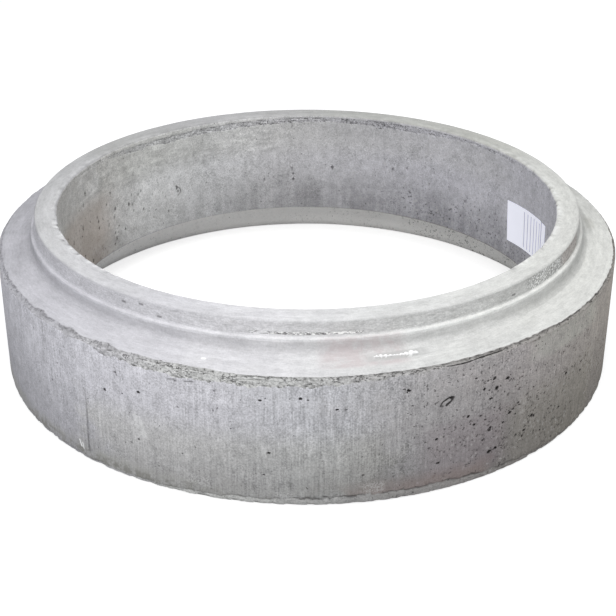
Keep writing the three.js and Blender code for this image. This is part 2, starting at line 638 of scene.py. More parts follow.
# %% Wear of the bore's rim and of the foot
# (bearing, wear of the bore under its top edge, from 0 to 1)
RIM_WEAR = [(-180, 0.6), (-160, 0.68), (-138, 0.75), (-127, 0.6), (-118, 0.38), (-85, 0.4),
            (-60, 0.35), (0, 0.25), (60, 0.25), (95, 0.3), (130, 0.45), (146, 0.7), (158, 0.7),
            (180, 0.6)]
# (bearing, height of the pale lip at the foot, in millimetres)
LIP_HEIGHT = [(-180, 6), (-60, 6), (-40, 6), (-18, 9), (-10, 13), (-2, 15), (5, 18), (14, 19),
              (21, 18), (27, 15), (32, 13), (42, 8), (60, 6), (180, 6)]
# (bearing, strength of the groove above that lip)
LIP_GROOVE = [(-180, 0.2), (-22, 0.3), (-6, 0.6), (0, 0.9), (6, 1.0), (31, 1.0), (38, 0.6),
              (60, 0.4), (180, 0.2)]
# (bearing, how broken the foot is, from 0 to 1)
FOOT_CHIPS = [(-180, 1.0), (-14, 1.0), (2, 0.6), (14, 0.3), (56, 0.35), (90, 1.0), (180, 1.0)]
# (bearing, drop from the rim to the crumbled band in the bore, in millimetres)
RIM_LIP = [(-180, 6), (-165, 10), (-150, 13), (-140, 14), (-130, 13), (-118, 8), (-90, 4), (90, 4),
           (130, 4), (150, 6), (165, 8), (180, 6)]
# (bearing, how chipped the top edge of the bore is, 1 being well chipped)
RIM_CHIPS = [(-180, 0.2), (-130, 0.3), (-78, 0.4), (-71, 1.3), (-46, 1.3), (-37, 0.3), (0, 0.2),
             (42, 0.3), (50, 1.0), (92, 0.9), (100, 0.4), (106, 0.65), (109, 0.65), (113, 0.3),
             (118, 0.65), (122, 0.65), (127, 0.3), (180, 0.2)]
print("the lip is up to", max(high for _, high in LIP_HEIGHT), "mm high")

# %% Finer mesh where something small is shaped
HOLE_SPACING = 0.42
HOLE_REACH = 1.35
HOLE_COARSENING = 0.9
LINE_REACH = 0.003
LINE_LENGTH = 0.2
SMALLEST_SPACING = 0.00075
PLAIN_SPACING = 1.0
TOUCHING = 0.0005
RING_SLACK = 1.35
RING_PASSES = 6
# the longest edge in metres where the wear is heavy, and where it is light
CHIP_SPACING = (0.0025, PLAIN_SPACING)
RIM_SPACING = (0.003, 0.007)
ARRIS_SPACING = (0.0024, 0.006)
FOOT_SPACING = (0.0038, 0.010)


def pick(spacings, heavy):
    """The finer of two spacings where the wear is heavy, and the coarser elsewhere."""
    return min(spacings) if heavy else max(spacings)


def ring_spacing(point):
    """The longest edge wanted at a point of the ring."""
    radius = math.hypot(point.x, point.y)
    degrees = bearing(point)
    spacing = PLAIN_SPACING
    if BORE_RADIUS + 0.009 < radius < WALL_RADIUS - 0.030 and not -20 < degrees < 24:
        return spacing
    if radius < BORE_RADIUS + 0.008 and point.z > RING_TOP - 0.007:
        spacing = pick(CHIP_SPACING, between(RIM_CHIPS, degrees) > 0.6)
    elif outside(radius, point.z, WORN["rim"]) < TOUCHING:
        spacing = pick(RIM_SPACING, between(RIM_WEAR, degrees) > 0.55)
    if outside(radius, point.z, WORN["arris"]) < TOUCHING:
        near_break = WALL_RADIUS - radius < 0.0013 * between(BREAK_REACH, degrees)
        on_band = point.z > SHOULDER - 0.010 or between(ARRIS_WEAR, degrees) > 0.5
        if near_break and on_band:
            spacing = pick(ARRIS_SPACING, abs(degrees) < 75)
    if outside(radius, point.z, WORN["foot"]) < TOUCHING:
        spacing = pick(FOOT_SPACING, abs(degrees) < 80)
    for _, number, away in hole_tree.find_n(point, 2):
        size = holes[number][1]
        near = max(SMALLEST_SPACING, HOLE_SPACING * size)
        spacing = min(spacing, near + HOLE_COARSENING * max(0.0, away - HOLE_REACH * size))
    for line, near in LINES:
        if (point - line[0]).length < LINE_LENGTH:
            away = clear_distance(point, line)
            spacing = min(spacing, near + HOLE_COARSENING * max(0.0, away - LINE_REACH))
    return spacing


split_long_edges(casting, lambda point: RING_SLACK * ring_spacing(point), RING_PASSES)
bmesh.ops.recalc_face_normals(casting, faces=casting.faces[:])
print("casting after refining:", len(casting.verts), "points,",
      sum(len(face.verts) - 2 for face in casting.faces), "triangles")

# %% [markdown]
# ## Relief
# Every point is moved into the concrete by the depth of whatever lies there, or out of
# it where slurry has set. It also carries a few numbers for the finish: how crumbled it
# is, how dark from dirt and from painted shade in holes, cracks, chips, the broken arris
# and round the dribble, how white from slurry, and which skin of concrete it belongs to.
# A Displace modifier would roughen everything alike, and couldn't give those numbers.


# %% Noise for the relief
def grain(point, size, octaves=3):
    """Fractal noise from about -1 to 1, with lumps of the given size in metres."""
    return noise.fractal(point / size, 1.0, 2.0, octaves)


def creases(point, length, height):
    """1 in short cracks that run along an edge, and 0 between them."""
    stretched = Vector((point.x / length, point.y / length, point.z / height))
    return max(0.0, 1.0 - abs(noise.noise(stretched)) / 0.20)


def ragged(point, slow):
    """A number about 1 that makes the borders of the worn places uneven."""
    return 1.0 + slow * noise.noise(point * 26.0) + 0.30 * noise.noise(point * 110.0)


front_point = place(0.0, 100.0, WALL_RADIUS)
print("raggedness at the front of the wall:", round(ragged(front_point, 0.45), 2))


# %% [markdown]
# Under the top arris and under the bore's top edge the concrete crumbled in a band. The
# edge of the bore is chipped too, and the arris has broken away along a face that slants
# down from the shoulder to the wall.

# %% Crumbled bands and the chipped rim
CHIP_DEPTH = 0.0034


def band(point, below, wear, reach):
    """Depth, crumbling, and painted shade in the cracks, of a band hanging from an edge."""
    share = below / max(wear * reach * ragged(point, 0.45), 0.0001)
    if not 0.0 <= share < 1.0:
        return 0.0, 0.0, 0.0
    crack = creases(point, 0.013, 0.0046) * (0.35 + 0.65 * abs(2 * share - 1))
    depth = 0.0007 + 0.0013 * grain(point, 0.007) + 0.0022 * crack
    return wear * max(0.0, depth), min(1.0, 1.3 * wear), wear * crack


def rim_relief(point, degrees):
    """Depth, painted shade and paleness where the top edge of the bore is chipped."""
    chipped = between(RIM_CHIPS, degrees)
    fine = 0.55 if degrees < 0 else 0.35
    lump = 0.8 * grain(point, 0.021, 2) + fine * grain(point, 0.0055, 2)
    return (CHIP_DEPTH * chipped * max(0.0, lump - 0.05), 0.40 * chipped * step(lump, 0.25, 0.6),
            0.36 * chipped * step(lump, 0.0, -0.3))


# %% Broken arris
def arris_relief(point, degrees):
    """Move, crumbling and painted shade where the top arris has broken away."""
    outward = Vector((point.x, point.y, 0.0)).normalized()
    inward = max(0.0, WALL_RADIUS - math.hypot(point.x, point.y))
    below = max(0.0, SHOULDER + SHOULDER_SLOPE * inward - point.z)
    across = between(BREAK_REACH, degrees) / 1000 * ragged(point, 0.25 if degrees < 0 else 0.12)
    down = 0.0030 + 0.25 * across
    spare = max(0.0, 1.0 - inward / across - below / down)
    pull = spare / (1 / across ** 2 + 1 / down ** 2)
    broken = step(inward / across + below / down, 1.15, 0.85)
    rough = 0.0004 + 0.0012 * grain(point, 0.006)
    depth, wear, dark = band(point, below, between(ARRIS_WEAR, degrees), 0.0185)
    if inward > 0.002:
        depth, wear, dark = 0.0, 0.0, 0.0
    # Painted shade in the break, and in the cracks above it.
    shade = between(BREAK_SHADE, degrees) * step(inward / across, 0.0, 0.4)
    shade *= 1.0 + 1.1 * noise.noise(point * 60.0)
    shade += 0.5 * creases(point, 0.014, 0.012) * step(inward / across, 0.3, 0.6)
    depth = max(depth, broken * rough, 0.0)
    move = -outward * (pull / across + depth) - Vector((0.0, 0.0, pull / down + 0.4 * depth))
    return move, max(wear, broken), max(dark, broken * min(1.0, shade))


# %% Ragged foot
GROOVE_DEPTH = 0.0010
LIP_PIT_DEPTH = 0.0012
FOOT_BREAK_DEPTH = 0.0080


def foot_relief(point, degrees):
    """The foot of the wall: a ragged pale lip, with a groove above it painted dark as shade."""
    lip = between(LIP_HEIGHT, degrees) / 1000 * ragged(point, 0.12)
    above = point.z - lip
    groove = step(abs(above), 0.0026, 0.0006) * step(noise.noise(point * 28.0), -0.55, -0.05)
    groove *= between(LIP_GROOVE, degrees)
    chips = step(above, 0.001, -0.001) * max(0.0, 0.2 + grain(point, 0.010))
    broken = step(point.z, 0.011, 0.001) * max(0.0, grain(point, 0.019, 2) - 0.02)
    broken *= between(FOOT_CHIPS, degrees)
    depth = GROOVE_DEPTH * groove + LIP_PIT_DEPTH * chips + FOOT_BREAK_DEPTH * broken
    return depth, 0.7 * step(above, 0.001, -0.001), 0.72 * groove


# %% [markdown]
# A blow-hole is a bowl whose floor is painted dark as shade. Points near its edge are
# moved onto the edge, so that even a coarse mesh gives it a clean outline. Cracks and
# splashes are measured from their lines, and the lumps of the dribble from their centres.

# %% Blow-holes
# The small holes take turns at how much painted shade they hold, and all of them at how flat.
SMALL_HOLE_SHADES = (0.9, 0.28, 0.45)
HOLE_FLATNESS = (1.0, 1.3, 1.7, 1.4)
LARGE_HOLE = 0.0027


def hole_relief(point, in_bore):
    """The edge of a blow-hole to move a point to, or its depth and painted shade inside."""
    centre, number, _ = hole_tree.find(point)
    size = holes[number][1]
    darkest = 1.0 if size > LARGE_HOLE else SMALL_HOLE_SHADES[number % 3]
    darkest *= 0.6 if in_bore else 2.0
    flat = HOLE_FLATNESS[number % 4]
    wide = 1.0 if in_bore else math.sqrt(flat)
    tall = 1.8 if in_bore else 1.0 / wide
    offset = (point - centre) * Vector((1.0 / wide, 1.0 / wide, 1.0 / tall))
    away = offset.length
    if away > 1.3 * size:
        return None, 0.0, 0.0
    outward = offset / max(away, 1e-6)
    edge = size * (1.0 + 0.50 * noise.noise(outward * 1.9 + Vector((number, 0.0, 0.0))))
    if away > 1.2 * edge:
        return None, 0.0, 0.0
    if away > 0.78 * edge:
        return centre + outward * Vector((wide, wide, tall)) * edge, 0.0, 0.2 * darkest
    bowl = math.sqrt(max(0.0, 1.0 - (away / edge) ** 2))
    return None, size * (0.45 + 0.75 * bowl), darkest


# %% Cracks, lumps and splashes
def line_relief(point):
    """Depth, darkness and whiteness of the cracks, the dribble and the splashes."""
    for line, half_width, cut, strength in CRACKS:
        if (point - line[0]).length < 0.16:
            away = clear_distance(point, line) + 0.0006 * noise.noise(point * 230.0)
            if away < half_width:
                inside = step(away, half_width, 0.0005)
                inside *= 0.45 + 0.55 * step((point - line[0]).length, 0.0, 0.05)
                return cut * inside, strength * inside, 0.0
    # Painted shadow on the shoulder round the lumps of the dribble.
    lump_shadow = 0.0
    for centre, size in LUMPS:
        away = (point - centre).length * (1.0 + 0.35 * noise.noise(point * 210.0)) / size
        if away < 1.0:
            dome = math.sqrt(1.0 - away * away)
            return -0.8 * size * dome, 0.0, min(1.0, 1.6 * dome)
        if point.x ** 2 + point.y ** 2 > centre.x ** 2 + centre.y ** 2:
            lump_shadow = max(lump_shadow, 0.26 * (1.9 - away))
    for line, half_width, strength in SPLASHES:
        if (point - line[0]).length < 0.08:
            away = clear_distance(point, line) + 0.0008 * noise.noise(point * 240.0)
            drop = strength * step(away, 1.5 * half_width, 0.6 * half_width)
            if drop > 0.0:
                return -0.0004 * drop, 0.0, drop
    return 0.0, lump_shadow, 0.0


# %% Wavy walls
WAVE_DEPTH = 0.00045
RIPPLE_DEPTH = 0.00012


def wavy(point):
    """Slow unevenness of a steel form, always into the concrete."""
    swell = WAVE_DEPTH * max(0.0, 0.25 + grain(point, 0.11, 2))
    return swell + RIPPLE_DEPTH * grain(point, 0.018, 2)


print("waviness at the front of the wall:", round(1000 * wavy(front_point), 2), "mm")

# %% Carve the casting
ON_FACE = 0.0004
ON_ARRIS = (WALL_RADIUS - 0.034, WALL_RADIUS, SHOULDER - 0.026, SHOULDER + 0.0055)

carried_names = ("crumbled", "darkened", "splashed", "skin", "inner", "hidden")
layers = [casting.verts.layers.float.new(name) for name in carried_names]
casting.normal_update()
moves = []
for vert in casting.verts:
    point = vert.co.copy()
    radius = math.hypot(point.x, point.y)
    degrees = bearing(point)
    outer = radius > WALL_RADIUS - ON_FACE
    in_bore = radius < BORE_RADIUS + ON_FACE
    below = point.z < SOCKET_DEPTH + 0.001 and radius < WALL_RADIUS - 0.007 and not in_bore
    top = point.z > SHOULDER - 0.0008 and not outer and not in_bore
    depth, wear, dark, crumb = max(0.0, wavy(point)), 0.0, 0.0, 0.0
    move = Vector()
    if outside(radius, point.z, ON_ARRIS) < 0.001:
        move, wear, dark = arris_relief(point, degrees)
    elif radius < BORE_RADIUS + 0.009 and point.z > RING_TOP - 0.0065:
        depth, dark, crumb = rim_relief(point, degrees)
    elif outside(radius, point.z, WORN["rim"]) < 0.004 and radius < BORE_RADIUS + 0.001:
        lip = between(RIM_LIP, degrees) / 1000
        depth, wear, dark = band(point, RING_TOP - lip - point.z,
                                 between(RIM_WEAR, degrees), 0.0190)
    elif outside(radius, point.z, WORN["foot"]) < 0.002 and point.z > 1e-5:
        depth, wear, dark = foot_relief(point, degrees)
    elif outer or in_bore:
        moved, bowl, shade = hole_relief(point, in_bore)
        if moved:
            vert.co = moved
        depth, dark = depth + bowl, max(dark, shade)
    cut, shade, white = line_relief(point)
    moves.append((vert, move - vert.normal * (depth + cut)))
    shares = (wear, max(dark, shade), max(white, crumb), float(top), float(in_bore), float(below))
    for layer, share in zip(layers, shares):
        vert[layer] = share
for vert, move in moves:
    vert.co += move
casting.normal_update()
print("deepest cut", round(1000 * max(move.length for _, move in moves), 1), "mm")

# %% Finish the ring's mesh
ring = add_mesh("concrete_ring", casting)
for polygon in ring.data.polygons:
    polygon.use_smooth = True
print("ring:", len(ring.data.polygons), "faces")

# %% [markdown]
# ## Concrete
# One material covers the whole casting, because it is one pour. Skins of cement paste,
# bare matrix and dirt are mixed over each other, as they lie on the real ring: a grey
# wall cast against steel, pale laitance on everything that was trowelled or pressed
# from above, and warmer bare matrix where an edge crumbled. Holes and cracks are painted
# dark as shade, and painted light and shade lie on the shoulder, the ledge and the top.
# Noise and masks draw all of it, so no image files are needed and no seam shows.

# %% Where on the ring a shading point lies
concrete = bpy.data.materials.new("cast_concrete")
tree = empty_graph(concrete)

spot = node("ShaderNodeTexCoord").outputs["Object"]
height = node("ShaderNodeSeparateXYZ", {0: spot}).outputs[2]
flat = vector_maths("MULTIPLY", spot, (1.0, 1.0, 0.0))
radius = node("ShaderNodeVectorMath", {0: flat}, operation="LENGTH").outputs["Value"]
turn = vector_maths("NORMALIZE", flat)
rightness, backness, _ = node("ShaderNodeSeparateXYZ", {0: turn}).outputs
around = maths("DEGREES", maths("ARCTAN2", rightness, maths("MULTIPLY", backness, -1.0)))


def carried(name):
    """A number that the mesh carries for the finish."""
    return node("ShaderNodeAttribute", attribute_name=name).outputs["Fac"]


def so_far(made):
    """Prints how large the graph has grown."""
    print(made + ":", len(tree.nodes), "nodes so far")


so_far("places")

# %% [markdown]
# Concrete shows lumps at every size, from patches of damp to grains of sand. Noise at
# several scales gives them. Stretching it along Z combs the wall as the form's steel
# did, and laying it round the ring draws the sweep of the trowel.

# %% Patterns of the paste and sand
upright = vector_maths("MULTIPLY", spot, (1.0, 1.0, 0.045))
sideways = vector_maths("MULTIPLY", spot, (0.22, 0.22, 1.0))
run = node("ShaderNodeCombineXYZ", {2: maths("SUBTRACT", radius, height)}).outputs[0]
swirl = vector_maths("ADD", vector_maths("MULTIPLY", turn, (0.14, 0.14, 0.0)), run)

blotch = speckle(spot, 5.5, 3)
cloud = speckle(spot, 17, 4, 0.65)
mottle = speckle(spot, 52, 5, 0.72)
sand = speckle(spot, 330, 3, 0.75)
grit = speckle(spot, 165, 3, 0.7)
comb = speckle(upright, 300, 2, 0.75)
runs = speckle(upright, 26, 4, 0.65)
ripple = speckle(sideways, 95, 3, 0.6)
trowel = speckle(swirl, 62, 5, 0.7)
trowel_fine = speckle(swirl, 260, 3, 0.75)
cracked = speckle(vector_maths("MULTIPLY", spot, (1.0, 1.0, 3.4)), 48, 4, 0.6)
scratch = speckle(vector_maths("MULTIPLY", spot, (1.0, 1.0, 4)), 130, 3, 0.7)
shift = node("ShaderNodeTexNoise", {"Vector": spot, "Scale": 210, "Detail": 2})
shift = vector_maths("SUBTRACT", shift.outputs["Color"], (0.5, 0.5, 0.5))
shift = vector_maths("MULTIPLY", shift, (0.011, 0.011, 0.011))
cells = node("ShaderNodeTexVoronoi", {"Vector": vector_maths("ADD", spot, shift), "Scale": 150})
cell_pick = node("ShaderNodeSeparateColor", {0: cells.outputs["Color"]})

# From 0 at the left end, through 0.5 at the front and back, to 1 at the right end.
side = maths("ADD", linear(rightness, 0.5, 0.5), linear(cloud, 0.16, -0.08))
front = fading(backness, -0.15, 0.25)
calm_left = remap(side, 0.15, 0.45, 0.5, 1.0)
rough_right = remap(side, 0.42, 0.74, 0.3, 1.0)
calm_cloud = masked(cloud, calm_left)
so_far("patterns")

# %% [markdown]
# The wall goes from a cool pale grey on the left to a browner grey on the right, and
# darkens towards the foot. Slow noise would make it look cloudy, so the fine patterns
# carry most of the contrast. Stains are then laid on one by one, each in its own stretch.

# %% Wall cast against the outer form
wall = ramp(side, (0.02, 182, 181, 187), (0.2, 205, 204, 210), (0.38, 203, 202, 207),
            (0.5, 191, 191, 195), (0.63, 174, 172, 173), (0.78, 160, 155, 154),
            (0.97, 170, 163, 155))
low_wall = linear(side, -0.1, remap(side, 0.1, 0.32, 0.735, 0.64))
rise = remap(maths("MAXIMUM", height, 0.042), -0.03, 0.235)
wall = shaded(wall, linear(rise, maths("SUBTRACT", 1.12, low_wall), low_wall))
wall = less_blue(wall, 0.945, window(side, 0.22, 0.58, 0.06), fading(height, 0.1, 0.17))
wall = toned(wall, 0.08, window(around, 19, 36, 7), remap(height, 0.185, 0.215))
combing = masked(comb, remap(blotch, 0.35, 0.6, 0.4, 1.0))
wall = shaded(wall, brightness((masked(blotch, calm_left), 0.22), (calm_cloud, 0.36),
                               (mottle, 0.9), (masked(grit, rough_right), 1.4), (sand, 1.42),
                               (combing, 0.98), (masked(runs, calm_left), 0.26)))
so_far("wall")

# %% Dirt, stains and painted shade on the wall
foot_dirt = times(fading(height, 0.006, 0.046), remap(mottle, 0.44, 0.62), remap(cloud, 0.4, 0.6),
                  remap(height, 0.003, 0.007), remap(side, 0.16, 0.26, 0.72, 0.45))
wall = stained(wall, (92, 89, 82), foot_dirt)
mossy = times(fading(linear(cloud, 0.03, height), 0.034, 0.056), fading(side, 0.2, 0.52),
              remap(mottle, 0.36, 0.6, 0.4, 1.0), remap(height, 0.002, 0.007))
wall = stained(wall, (156, 155, 147), mossy, 0.5)
low_stain = times(fading(linear(blotch, 0.05, height), 0.045, 0.095), remap(cloud, 0.4, 0.58),
                  window(side, 0.22, 0.62, 0.1), remap(height, 0.02, 0.05))
wall = stained(wall, (126, 121, 116), low_stain, 0.34)
# A dark band right under the shoulder's edge on the right: brownish dirt, and painted shade under
# the edge.
edge_dirt_and_shade = times(window(height, 0.243, 0.252, 0.004), window(around, 40, 78, 6),
                  remap(mottle, 0.42, 0.56), remap(cloud, 0.36, 0.54, 0.3, 1.0))
wall = stained(wall, (104, 98, 92), edge_dirt_and_shade, 0.62)
pale_right = times(window(around, 42, 56, 5), window(height, 0.208, 0.238, 0.018),
                   remap(cloud, 0.36, 0.54, 0.5, 1.0))
wall = stained(wall, (206, 209, 198), pale_right, 0.32)
mauve = times(window(around, 21, 31, 5), window(height, 0.04, 0.12, 0.03))
wall = stained(wall, (150, 137, 142), mauve, 0.28)
olive = times(window(around, 37, 56, 6), fading(height, 0.1, 0.17))
wall = stained(wall, (140, 137, 122), olive, 0.28)
pale_arris = times(remap(height, 0.195, 0.225), window(around, 78, 104, 5),
                   remap(mottle, 0.38, 0.5, 0.5, 1.0))
wall = stained(wall, (214, 213, 208), pale_arris, 0.7)
grime = times(window(linear(cloud, 0.03, height), 0.018, 0.034, 0.007), remap(mottle, 0.42, 0.56),
              window(side, 0.16, 0.3, 0.12))
wall = stained(wall, (106, 105, 99), grime, 0.42)
rusty = times(fading(linear(cloud, 0.04, height), 0.04, 0.075), window(side, 0.6, 0.72, 0.06))
wall = stained(wall, (142, 126, 120), rusty, 0.52)
for degrees, level in ((-17, 0.034), (-3.5, 0.018), (10.5, 0.03)):
    rubbed = times(window(around, degrees - 1.2, degrees + 1.2, 1.2), remap(sand, 0.44, 0.56),
                   window(height, level - 0.006, level + 0.006, 0.008))
    wall = stained(wall, (206, 205, 205), rubbed, 0.4)
so_far("stains on the wall")

# %% [markdown]
# Cement paste rose under the trowel and dried nearly white on the shoulder, the ledge and
# the top. Their tone changes only a little, so short stretches are made lighter or darker,
# and painted light and shade are laid beside the spigot and towards the back.

# %% Trowelled laitance on the shoulder, ledge and spigot
# radii and bearings between which it lies, each pair with its softness, and the gain.
# The first and fifth rows are painted shade in the fillet beside the spigot on the right,
# the second and third are painted light on the shoulder at the right and beside the spigot
# on the left, the fourth and sixth change only the tone, and the last four make the
# painted shade of the top lighter or darker round the ring.
SKIN_LIGHT_AND_TONE = [
    (0.556, 0.5625, 0.003, 46, 100, 10, -0.15), (0.57, 0.625, 0.006, 63, 90, 9, 0.05),
    (0.558, 0.6, 0.008, -98, -76, 8, 0.035), (0.53, 0.545, 0.006, -106, -74, 8, -0.06),
    (0.556, 0.576, 0.005, 86, 101, 5, -0.24), (0.56, 0.6, 0.006, 17, 33, 6, -0.03),
    (0.503, 0.541, 0.004, 107, 122, 8, 0.06), (0.503, 0.541, 0.004, 163, 181, 8, -0.07),
    (0.503, 0.541, 0.004, -181, -176, 8, -0.05), (0.503, 0.541, 0.004, -158, -130, 8, 0.06),
]
skin_tone = ramp(side, (0.0, 167, 166, 171), (0.05, 178, 177, 182), (0.11, 186, 185, 190),
                 (0.28, 195, 194, 198), (0.45, 205, 204, 206), (0.62, 203, 203, 202),
                 (0.84, 204, 204, 201), (1.0, 200, 200, 196))
pale_top = times(window(radius, 0.503, 0.541, 0.004), fading(side, 0.04, 0.34))
skin_tone = stained(skin_tone, (198, 198, 196), pale_top, 0.55)
for near, far, edge_soft, left, right, end_soft, gain in SKIN_LIGHT_AND_TONE:
    skin_tone = toned(skin_tone, gain, window(radius, near, far, edge_soft),
                      window(around, left, right, end_soft))
skin_tone = toned(skin_tone, -0.12, window(radius, 0.592, 0.622, 0.012),
                  window(around, 92, 112, 6), remap(cloud, 0.4, 0.58))
# Painted shade on the spigot's outer rounding, and on what lies beyond it, at the back.
skin_tone = toned(skin_tone, -0.09, remap(radius, 0.5385, 0.5405), remap(backness, 0.35, 0.6))
# Painted shade: the top and the shoulder grow darker towards the back.
skin_tone = shaded(skin_tone, remap(backness, -0.1, 0.75, 1.0, 0.7))
skin_tone = shaded(skin_tone, brightness((trowel, 0.6), (trowel_fine, 0.44), (calm_cloud, 0.2),
                                         (masked(mottle, calm_left), 0.34), (sand, 0.46)))
so_far("laitance")

# %% Spigot side and seal ledge
# Painted highlight on the seal ledge, turning to painted shade towards its right end.
ledge_highlight = times(window(radius, 0.5475, 0.555, 0.002), window(height, 0.281, 0.287, 0.003))
skin_tone = toned(skin_tone, remap(around, 56, 80, 0.19, -0.1), ledge_highlight)
on_side = times(window(radius, 0.5425, 0.5485, 0.001), window(height, 0.2885, 0.31, 0.002))
side_tone = times(linear(side, -0.34, 1.155), brightness((scratch, 0.95), (grit, 0.25)))
skin_tone = toned(skin_tone, maths("ADD", side_tone, -1.0), on_side)
granular = times(on_side, window(around, 47, 59, 3))
dashes = times(window(radius, 0.545, 0.5485, 0.001), window(height, 0.29, 0.2935, 0.001),
               window(around, -9, 9, 2))
flaked = largest(times(granular, remap(sand, 0.455, 0.41)),
                 times(dashes, remap(scratch, 0.49, 0.44)))
skin_tone = toned(skin_tone, -0.13, granular)
skin_tone = stained(skin_tone, (252, 252, 250), flaked)
browned = times(on_side, window(around, 60, 69, 2.5))
skin_tone = stained(skin_tone, (168, 155, 149), browned, 0.45)
scratched = largest(times(granular, remap(sand, 0.54, 0.6), 0.9),
                    times(dashes, remap(scratch, 0.48, 0.53), remap(cracked, 0.44, 0.5), 1.4),
                    times(browned, remap(grit, 0.53, 0.59), 0.8))
for degrees, level in ((-31, 0.305), (-27, 0.292), (-35, 0.3), (41.2, 0.2945)):
    pit = times(window(around, degrees - 0.3, degrees + 0.3, 0.4), on_side,
                window(height, level - 0.001, level + 0.001, 0.0015))
    scratched = largest(scratched, pit)
so_far("spigot and ledge")

# %% Stains and painted shade on the shoulder
spotted = times(window(around, 87.5, 90.5, 2.5), window(radius, 0.572, 0.583, 0.007))
skin_tone = stained(skin_tone, (160, 159, 152), spotted, 0.42)
stain = times(window(around, 4, 15, 3), window(radius, 0.556, 0.59, 0.012),
              remap(mottle, 0.36, 0.6, 0.3, 1.0))
skin_tone = stained(skin_tone, (183, 170, 171), stain, 0.6)
# Painted shadow round the lumps of the dribble.
dribble_shadow = times(window(around, 10.5, 19.5, 1.5), window(radius, 0.567, 0.582, 0.004),
               remap(mottle, 0.34, 0.54, 0.4, 1.0))
skin_tone = stained(skin_tone, (180, 180, 179), dribble_shadow, 0.85)
so_far("stains on the shoulder")

# %% [markdown]
# The bore was cast against the core. It is damp and darker low down, brown at the left
# end, and faintly rippled at the back. The faces that are never seen stay plain.

# %% Bore
bore = ramp(side, (0.0, 187, 185, 181), (0.06, 209, 208, 206), (0.13, 221, 221, 220),
            (0.26, 208, 208, 209), (0.42, 196, 195, 197), (0.8, 192, 191, 197),
            (1.0, 191, 190, 196))
bore = toned(bore, -0.46, fading(linear(cloud, 0.1, height), 0.14, 0.26),
             remap(runs, 0.3, 0.62, 0.35, 1.0), remap(side, 0.1, 0.4, 0.6, 1.0))
bore = shaded(bore, brightness((blotch, 0.22), (runs, 0.4), (cloud, 0.36), (mottle, 0.85),
                               (grit, 0.72), (sand, 1.25)))
rippled = times(window(height, 0.235, 0.295, 0.02), window(around, -168, -108, 12))
bore = shaded(bore, brightness((masked(ripple, rippled), 0.75)))
for left, right, low, gain in ((-150, -126, 0.225, -0.12), (161, 172, 0.275, -0.08)):
    bore = toned(bore, gain, remap(height, low - 0.02, low), window(around, left, right, 8))
brown = times(remap(around, -123, -112), fading(height, 0.2, 0.25), fading(around, -70, -60))
bore = stained(bore, (168, 154, 142), brown, 0.52)
bore = toned(bore, -0.16, window(around, -121, -110, 4), fading(height, 0.1, 0.118))
bore = toned(bore, 0.09, window(around, -119, -110, 4), window(height, 0.138, 0.165, 0.012))
so_far("bore")

# %% Skins laid over one another
hidden_tone = shaded(paint(240, 239, 237), brightness((blotch, 0.16), (mottle, 0.2), (sand, 0.2)))
colour = blend(carried("skin"), wall, skin_tone)
colour = blend(carried("inner"), colour, bore)
colour = blend(carried("hidden"), colour, hidden_tone)
colour = less_blue(colour, 0.97, remap(backness, 0.3, 0.6), remap(height, 0.2, 0.26))
so_far("skins")

# %% [markdown]
# Where an edge crumbled, sand and paler matrix show, split by short cracks painted dark
# as shade. The number carried by the mesh says where, and noise frays its border.

# %% Crumbled matrix
matrix = ramp(side, (0.06, 192, 191, 197), (0.16, 199, 198, 203), (0.25, 214, 213, 215),
              (0.32, 224, 224, 222), (0.45, 222, 222, 220), (0.56, 202, 201, 200),
              (0.75, 180, 176, 173), (1.0, 174, 169, 162))
matrix = blend(carried("inner"), matrix, bore)
facing = node("ShaderNodeNewGeometry").outputs["Normal"]
upwards = node("ShaderNodeSeparateXYZ", {0: facing}).outputs[2]
# Painted shade: the crumbled matrix is darker the more it faces up.
matrix = shaded(matrix, remap(upwards, 0.05, 0.8, 1.0, 0.74))
matrix = shaded(matrix, brightness((sand, 0.9), (grit, 0.7), (mottle, 0.6)))
at_foot = remap(side, 0.36, 0.58, 0.86, 0.67)
matrix = shaded(matrix, remap(height, 0.008, 0.2, at_foot, 1.0))
fray = linear(grit, 0.5, maths("ADD", carried("crumbled"), -0.25))
colour = blend(times(remap(fray, 0.25, 0.6), 0.92), colour, matrix)
ridge = times(fading(maths("ABSOLUTE", maths("ADD", cracked, -0.5)), 0.008, 0.032),
              remap(mottle, 0.42, 0.54), remap(fray, 0.3, 0.6), remap(height, 0.02, 0.1, 0.4, 1.0),
              remap(side, 0.14, 0.3, 0.5, 1.0))
so_far("crumbled matrix")

# %% [markdown]
# Pinholes too small to model are cells of a Voronoi pattern, thickest at the right of the
# wall, painted dark as shade. Dark and pale flecks of sand lie between them.

# %% Pinholes and flecks
cast_face = maths("SUBTRACT", 1.0, carried("skin"))
peppered = times(remap(side, 0.56, 0.7), front, remap(cloud, 0.34, 0.52))
pin_size = linear(cell_pick.outputs[1], linear(peppered, 0.1, 0.13), 0.1)
pin_size = linear(maths("SUBTRACT", grit, 0.5), 0.5, pin_size)
pin = times(maths("LESS_THAN", cells.outputs["Distance"], pin_size),
            maths("GREATER_THAN", cell_pick.outputs[0], linear(peppered, -0.46, 0.9)), cast_face)
bore_left = times(fading(side, 0.2, 0.3), carried("inner"))
rough = largest(rough_right, bore_left, remap(side, 0.14, 0.3, 0.55, 0.0))
rough = times(remap(cloud, 0.36, 0.56), cast_face, rough)
low_right = times(remap(side, 0.62, 0.76), fading(height, 0.12, 0.18))
stronger = linear(low_right, 1.0, 1.0)
fleck = times(remap(grit, 0.56, 0.63), rough, stronger)
glint = times(remap(grit, 0.43, 0.37), rough, maths("SQRT", stronger))
colour = stained(colour, (212, 210, 208), glint, 0.3)
so_far("pinholes and flecks")

